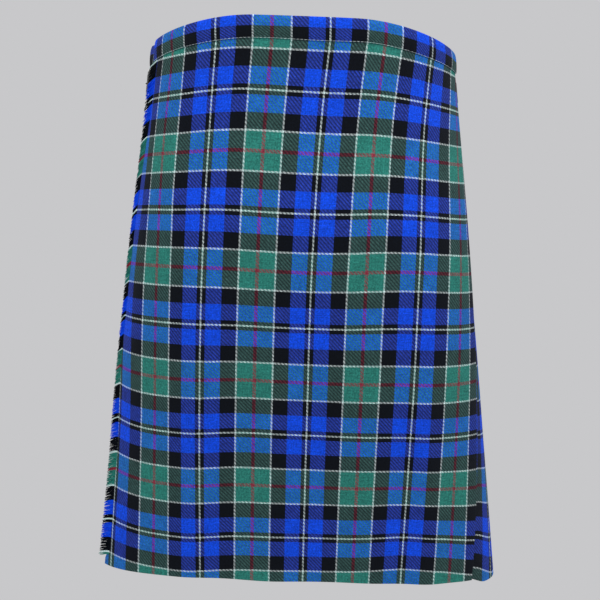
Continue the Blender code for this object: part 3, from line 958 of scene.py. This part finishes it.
# Along a yarn, t runs from root to tip. It kinks, strays and stands off as chance has it.
t = np.linspace(0.0, 1.0, FRINGE_STEPS)
for k in range(FRINGE_YARNS):
    drop = mix(*FRINGE_SHARES, (k + 0.5 * chance.random()) / FRINGE_YARNS)
    loose = 0.5 + 1.6 * math.exp(-(((drop - TANGLED_AT) / TANGLED_OVER) ** 2))
    reach = FRINGE_REACH + 0.6 * chance.standard_normal() + 0.9 * math.sin(21.0 * drop)
    radius = YARN_RADIUS + 0.1 * chance.random()
    sag = 5.0 + 0.7 * chance.random()
    phases = chance.random(4) * 2.0 * math.pi
    stand = 0.5 + 0.9 * chance.random()
    kink = 0.45 * loose * t * np.sin(5.0 * t + phases[0]) + 0.12 * np.sin(11.0 * t + phases[1]) * t
    down_mm = drop * LENGTH + sag * t**1.4 + kink
    stray = 0.5 * loose * t * np.sin(4.0 * t + phases[2])
    root = float(drawn_edge(drop))
    tip = 0.5 * (root + float(free_edge(drop))) - reach
    out_mm = OVER + 0.55 + stand * t + stray + 1.8 * t * t
    line = on_form(mix(root + FRINGE_ROOT, tip, t), out_mm, down_mm / LENGTH)
    ahead = unit(np.gradient(line, axis=0))
    side = unit(np.cross(ahead, (0.0, 0.0, 1.0)))
    taper = radius * (1.0 - 0.45 * t**6) * MM
    faces += tube_faces(len(corners), FRINGE_STEPS, FRINGE_SIDES)
    corners += ring_points(line, side, np.cross(side, ahead), taper, FRINGE_SIDES, phases[3])
    yarn_third = float(thirds(root, drop)[1])
    for n in range(FRINGE_STEPS - 1):
        quad = [(k * 0.37 + (n + end) * 0.06, yarn_third) for end in (0, 0, 1, 1)]
        weave_places += quad * FRINGE_SIDES
    weave_places += [(k * 0.37, yarn_third)] * (2 * FRINGE_SIDES)
fringe_mesh = new_mesh("fringe_yarns", corners, faces)
lay_weave(fringe_mesh, weave_places)
fringe = add_piece(fringe_mesh, drawn_yarn, ["fringe"])

# ---- stitching ------------------------------------------------------------------
# The waistband's lower edge is felled down by hand with small slanting stitches of
# navy thread, and each pleat is caught down along its fold, a third of the way to
# the hem, with stitches that nearly sink into the wool.

FELL_STITCH = 3.4
PLEAT_STITCH = 4.2
PLEAT_STITCH_START = 26.0
THREAD_RADIUS = 0.28
THREAD_ARCH = 0.34
THREAD_DIP = 0.55
OVER_FELL = (-176.0, 198.0)
BACK_FELL_GAP = 3.0
BACK_FELL_END = -184.0
# Half a stitch, round and down, and how deep its line lies in the cloth.
FELL_SLANT = (0.7, 0.9)
PLEAT_SLANT = (0.75, 0.4)
FELL_DEPTH = 0.4

# Cotton thread, twisted and dyed navy: a faint sheen, broken every half mm by the twist.
thread, tree = new_finish("navy_cotton_thread")
twist = add(tree, "TexNoise", {"Scale": 900.0, "Detail": 2.0})
shades = {"Factor": twist, 6: linear("#0B1230"), 7: linear("#22306A")}
toned = add(tree, "Mix", shades, data_type="RGBA")
feeds = {"Base Color": toned, "Roughness": 0.7, "Specular IOR Level": 0.3}
add(tree, "OutputMaterial", {"Surface": add(tree, "BsdfPrincipled", feeds)})

corners, faces = [], []


def stitch(round_mm, out_mm, drop_mm, along_round, along_drop):
    """One stitch: a short arc of thread that dips into the cloth at both ends."""
    t = np.array((-1.0, -0.45, 0.45, 1.0))
    length, down = round_mm + t * along_round, drop_mm + t * along_drop
    out = out_mm + THREAD_ARCH - THREAD_DIP * t * t
    line = on_form(length, out, down / LENGTH)
    beside = on_form(length - 0.4 * along_drop, out, (down + 0.4 * along_round) / LENGTH)
    side = unit(beside - line)
    over = unit(on_form(length, out + 1.0, down / LENGTH) - line)
    faces.extend(tube_faces(len(corners), 4, 4))
    corners.extend(ring_points(line, side, over, THREAD_RADIUS * MM, 4))


chance = np.random.default_rng(11)
seam_drop = BAND_HEIGHT / LENGTH
back_fell = (
    float(fold_edge(seam_drop)) + BACK_FELL_GAP,
    float(girth_at(seam_drop)) + BACK_FELL_END,
)
for (start, end), level_at in ((OVER_FELL, over_band_level), (back_fell, back_band_level)):
    for k in range(int((end - start) / FELL_STITCH)):
        at = start + (k + 0.25 * chance.random()) * FELL_STITCH
        level = float(level_at(at, seam_drop)) - FELL_DEPTH
        stitch(at, level, BAND_HEIGHT - 0.2 + wander(at), *FELL_SLANT)
for k in range(PLEATS):
    for n in range(int((FELL_END * LENGTH - PLEAT_STITCH_START) / PLEAT_STITCH)):
        down_mm = PLEAT_STITCH_START + (n + 0.3 * chance.random()) * PLEAT_STITCH
        fold_at = float(pleat_folds(down_mm / LENGTH)[k])
        level = OVER + 0.5 * CLOTH_SHOWN - float(settle(fold_at, down_mm / LENGTH))
        stitch(fold_at - 1.1, level, down_mm, *PLEAT_SLANT)
stitches = add_piece(new_mesh("hand_stitches", corners, faces), thread, [])

# ---- straps and tabs ------------------------------------------------------------
# Two short straps of black bridle leather hold the kilt shut at the hips. Each is
# creased along its edges, cut to a rounded point and punched for the prong. A tab
# of the same leather is folded round the buckle's heel bar and sewn to the cloth.

LEATHER = 1.8
LEATHER_BEVEL = 0.35
STRAP_WIDTH = 22.0
LEFT_HEEL = 28.0
RIGHT_HEEL = -50.0
STRAP_LAND = (2.0, -5.0, -13.0)
STRAP_REST = 0.8
SLACK = 0.4
TAB_LENGTH = 40.0
TIP_LENGTH = 11.0
SLOT_HALF = 2.2
SLOT_END = 4.6
PUNCH = 1.2
PUNCHED = (14.0, 25.0)
STATION_STEP = 1.6
SOLID_CLOTH = 1.2
BUCKLE_BAR = 1.3
BUCKLE_LENGTH = 22.0
PRONG_RADIUS = 0.9
# The leather's places are in cm, so the crease, which runs 2 mm in from each edge, lies
# 0.9 from the middle.
CM = 10.0
CREASE = 0.9

# Bridle leather, dyed black and waxed: a fine grain of a mm under a soft shine, duller
# where it is scuffed, with a pressed line along each edge.
leather, tree = new_finish("black_bridle_leather")
place = add(tree, "UVMap", uv_map="weave")
sides = add(tree, "SeparateXYZ", {0: place})
grain = add(tree, "TexVoronoi", {"Vector": place, "Scale": 9.0})
scuffs = add(tree, "TexNoise", {"Vector": place, "Scale": 1.6, "Detail": 5.0})
shades = {"Factor": scuffs, 6: linear("#08080A"), 7: linear("#1C1A18")}
toned = add(tree, "Mix", shades, data_type="RGBA")
shine = add(tree, "MapRange", {0: scuffs, 1: 0.3, 2: 0.7, 3: 0.36, 4: 0.56})
off_middle = add(tree, "Math", {0: sides.outputs["Y"]}, operation="ABSOLUTE")
off_crease = add(tree, "Math", {0: off_middle, 1: CREASE}, operation="SUBTRACT")
near_crease = add(tree, "Math", {0: off_crease}, operation="ABSOLUTE")
crease = add(tree, "MapRange", {0: near_crease, 1: 0.0, 2: 0.05, 3: 0.0, 4: 1.0})
relief = add(tree, "Math", {0: grain, 1: 0.25, 2: crease}, operation="MULTIPLY_ADD")
bump = add(tree, "Bump", {"Height": relief, "Strength": 0.5, "Distance": 0.0006})
feeds = {"Base Color": toned, "Roughness": shine, "Normal": bump}
add(tree, "OutputMaterial", {"Surface": add(tree, "BsdfPrincipled", feeds)})

strap_drop = STRAP_DROP / LENGTH
leather_layer = LEATHER + SEAM
tab_low = STRAP_REST + 0.5 * LEATHER
tab_turn = BUCKLE_BAR + SEAM + 0.5 * LEATHER
bar_out = tab_low + tab_turn
strap_lift = 0.5 * SOLID_CLOTH + SEAM + 0.5 * LEATHER


def at_hip(heel, ahead, along, out, down_mm):
    """A point at a hip from the mm ahead of the heel bar, out from the form and down."""
    row = strap_drop + down_mm / LENGTH
    return on_form((heel + ahead * along) * girth_at(row) / girth_at(strap_drop), out, row)


def leather_strip(name, solid, heel, ahead, line, width, gap, tip=0.0, punched=()):
    """A strip along a line of (mm ahead of the heel bar, mm out), with a slot for the prong
    from one point of the line to another, and holes at mm ahead of the bar."""
    line = np.array(line, float)
    run_at = np.concatenate([[0.0], np.cumsum(np.hypot(*np.diff(line, axis=0).T))])
    cuts = [(run_at[gap[0]], run_at[gap[1]], SLOT_HALF)]
    for hole in punched:
        centre = run_at[-1] - TAB_LENGTH + hole
        cuts.append((centre - PUNCH, centre + PUNCH, PUNCH))
    ends = np.array([end for cut in cuts for end in cut[:2]])
    stations = np.linspace(0.0, run_at[-1], int(run_at[-1] / STATION_STEP))
    stations = stations[np.abs(stations[:, None] - ends[None, :]).min(1) > 0.5]
    stations = np.sort(np.concatenate([stations, ends]))
    spots = knot_weights(run_at, stations) @ line
    near_edge = 0.5 * width - np.array([2.0, 0.6, 0.0])
    half_downs = np.array([PUNCH, SLOT_HALF, *near_edge])
    downs = np.concatenate([-half_downs[::-1], [0.0], half_downs])
    narrow = np.ones(len(stations))
    if tip:
        into = np.clip((stations - (run_at[-1] - tip)) / tip, 0.0, 1.0)
        narrow = np.maximum((1.0 - into**2.0) ** 0.7, 0.12)
    down_mm = narrow[None, :] * downs[:, None]
    points = at_hip(heel, ahead, spots[None, :, 0], spots[None, :, 1], down_mm)
    missing = np.zeros((len(downs) - 1, len(stations) - 1), bool)
    middle = 0.5 * (stations[1:] + stations[:-1])
    middle_down = np.abs(0.5 * (downs[1:] + downs[:-1]))
    for first, stop, half_gap in cuts:
        missing |= (middle_down < half_gap)[:, None] & ((middle > first) & (middle < stop))
    along = stations[None, :] / CM + 0.0 * down_mm
    mesh = cloth_mesh(name, points, along, down_mm / CM, missing)
    strip = add_piece(mesh, leather, [solid], LEATHER, LEATHER_BEVEL)


edge = float(fold_edge(strap_drop))
girth = float(girth_at(strap_drop))
last = float(pleat_folds(strap_drop)[-1])
# The left strap comes out through the slit from the under apron, and the right one
# from under the over apron's free edge. Each is (length round, out from the form).
inside = float(under_level(UNDER_LAST, strap_drop)) + strap_lift
left_start = [(float(apron_line(j, strap_drop)), inside) for j in (20, 21, 22, 23, 24)]
left_start.append((edge + SLIT_START + 2.0, inside))
for spot in (edge + SLIT_END - 2.5, edge + 0.4 * FIRST_FACE, edge + 0.7 * FIRST_FACE):
    left_start.append((spot, float(panel_level(spot, strap_drop)) + strap_lift + SLACK))
behind = OVER - strap_lift - 0.5 * SLACK
right_start = [(girth + float(apron_line(j, strap_drop)), behind) for j in (2, 1, 0)]
for step, level in zip(LAST_STEPS[::-1], (behind, behind, 0.4 * behind, 0.6 * tab_low)):
    right_start.append((last + step, level))
right_start += [(last + step, tab_low) for step in STRAP_LAND]

fastening_ends = (
    ("left", edge + FIRST_FACE + LEFT_HEEL, 1.0, left_start),
    ("right", last + RIGHT_HEEL, -1.0, right_start),
)
far = [0.37 * TAB_LENGTH, 0.68 * TAB_LENGTH, TAB_LENGTH]
for side, heel, ahead, start in fastening_ends:
    tab = [(along, tab_low) for along in far[::-1]] + [(SLOT_END, tab_low)]
    for degrees in (270, 225, 180, 135, 90):
        angle = math.radians(degrees)
        tab.append((tab_turn * math.cos(angle), bar_out + tab_turn * math.sin(angle)))
    tab.append((SLOT_END, bar_out + tab_turn))
    tab += [(along, tab_low + leather_layer) for along in far]
    tab_names = (f"tab_{side}_leather", f"buckle_tab_{side}")
    leather_strip(*tab_names, heel, ahead, tab, STRAP_WIDTH - 1.0, (3, 9))
    above = bar_out + tab_turn + leather_layer
    # The strap lies on the cloth, rises over the heel bar and ends flat on the tab.
    strap = [((length_at - heel) * ahead, level) for length_at, level in start]
    strap += [(-28.0, tab_low), (-19.0, tab_low), (-10.5, tab_low + 1.9)]
    strap += [(-2.5, above), (SLOT_END, above)]
    strap += [(along, tab_low + 2.0 * leather_layer + SLACK) for along in far]
    strap_names = (f"strap_{side}_leather", f"strap_{side}")
    gap = (len(start) + 2, len(start) + 3)
    leather_strip(*strap_names, heel, ahead, strap, STRAP_WIDTH, gap, TIP_LENGTH, PUNCHED)

# ---- buckles --------------------------------------------------------------------
# Each buckle is one bent steel rod with rounded corners, nickel plated and polished,
# and its prong is a thinner rod curled round the heel bar. The prong lies through
# the strap's hole and rests on the far bar.

BUCKLE_HALF = 0.5 * STRAP_WIDTH + 4.0
BUCKLE_CORNER = 3.5
ROD_SIDES = 16
PRONG_REACH = 23.0
PRONG_SAG = 0.25
PRONG_TIP = (0.95, 0.75, 0.4)

# Nickel plate, polished: a warm grey mirror, clouded finely by years of handling.
nickel, tree = new_finish("polished_nickel_plate")
wear = add(tree, "TexNoise", {"Scale": 220.0, "Detail": 4.0})
shades = {"Factor": wear, 6: linear("#A9A8A2"), 7: linear("#CFCEC8")}
toned = add(tree, "Mix", shades, data_type="RGBA")
shine = add(tree, "MapRange", {0: wear, 1: 0.3, 2: 0.7, 3: 0.16, 4: 0.3})
feeds = {"Base Color": toned, "Roughness": shine, "Metallic": 1.0}
add(tree, "OutputMaterial", {"Surface": add(tree, "BsdfPrincipled", feeds)})


def bent_rod(name, solid, line, radii, plane, joined=False):
    """A round bar along a line of points in metres, bent in the plane with this normal."""
    line = np.array(line)
    ahead = np.roll(line, -1, 0) - np.roll(line, 1, 0) if joined else np.gradient(line, axis=0)
    ahead = unit(ahead)
    side = unit(np.cross(ahead, plane))
    points = ring_points(line, side, np.cross(ahead, side), np.array(radii) * MM, ROD_SIDES)
    faces = tube_faces(0, len(line), ROD_SIDES, joined, not joined)
    rod = add_piece(new_mesh(name, points, faces), nickel, [solid])


for side, heel, ahead, _ in fastening_ends:
    outline = []
    for along, down_mm, turned_from in (
        (-BUCKLE_CORNER, BUCKLE_HALF - BUCKLE_CORNER, 0),
        (BUCKLE_CORNER - BUCKLE_LENGTH, BUCKLE_HALF - BUCKLE_CORNER, 90),
        (BUCKLE_CORNER - BUCKLE_LENGTH, BUCKLE_CORNER - BUCKLE_HALF, 180),
        (-BUCKLE_CORNER, BUCKLE_CORNER - BUCKLE_HALF, 270),
    ):
        for degrees in range(turned_from, turned_from + 91, 15):
            angle = math.radians(degrees)
            outline.append(
                (along + BUCKLE_CORNER * math.cos(angle), down_mm + BUCKLE_CORNER * math.sin(angle))
            )
    # Its straight sides take three more points each.
    outline = [
        (mix(a[0], b[0], t), mix(a[1], b[1], t))
        for a, b in zip(outline, outline[1:] + outline[:1])
        for t in (np.arange(4) / 4.0 if math.dist(a, b) > 4.0 else (0.0,))
    ]
    bar_line = [at_hip(heel, ahead, along, bar_out, down_mm) for along, down_mm in outline]
    away = unit(on_form(heel, 100.0, strap_drop) - on_form(heel, 0.0, strap_drop))
    bent_rod(f"buckle_{side}_frame", f"buckle_{side}", bar_line, BUCKLE_BAR, away, True)
    curl = BUCKLE_BAR + SEAM + PRONG_RADIUS
    prong = []
    for degrees in range(225, 451, 15):
        angle = math.radians(degrees)
        prong.append((curl * math.cos(angle), bar_out + curl * math.sin(angle)))
    for along in (3.0, 7.0, 12.0, 17.0, 20.0, 22.0, PRONG_REACH):
        sag = PRONG_SAG * math.sin(math.pi * along / PRONG_REACH)
        prong.append((-along, bar_out + curl - sag))
    widths = np.full(len(prong), PRONG_RADIUS)
    widths[-3:] *= PRONG_TIP
    prong_line = [on_form(heel + ahead * along, level, strap_drop) for along, level in prong]
    bent_rod(f"prong_{side}_pin", f"prong_{side}", prong_line, widths, (0.0, 0.0, 1.0))
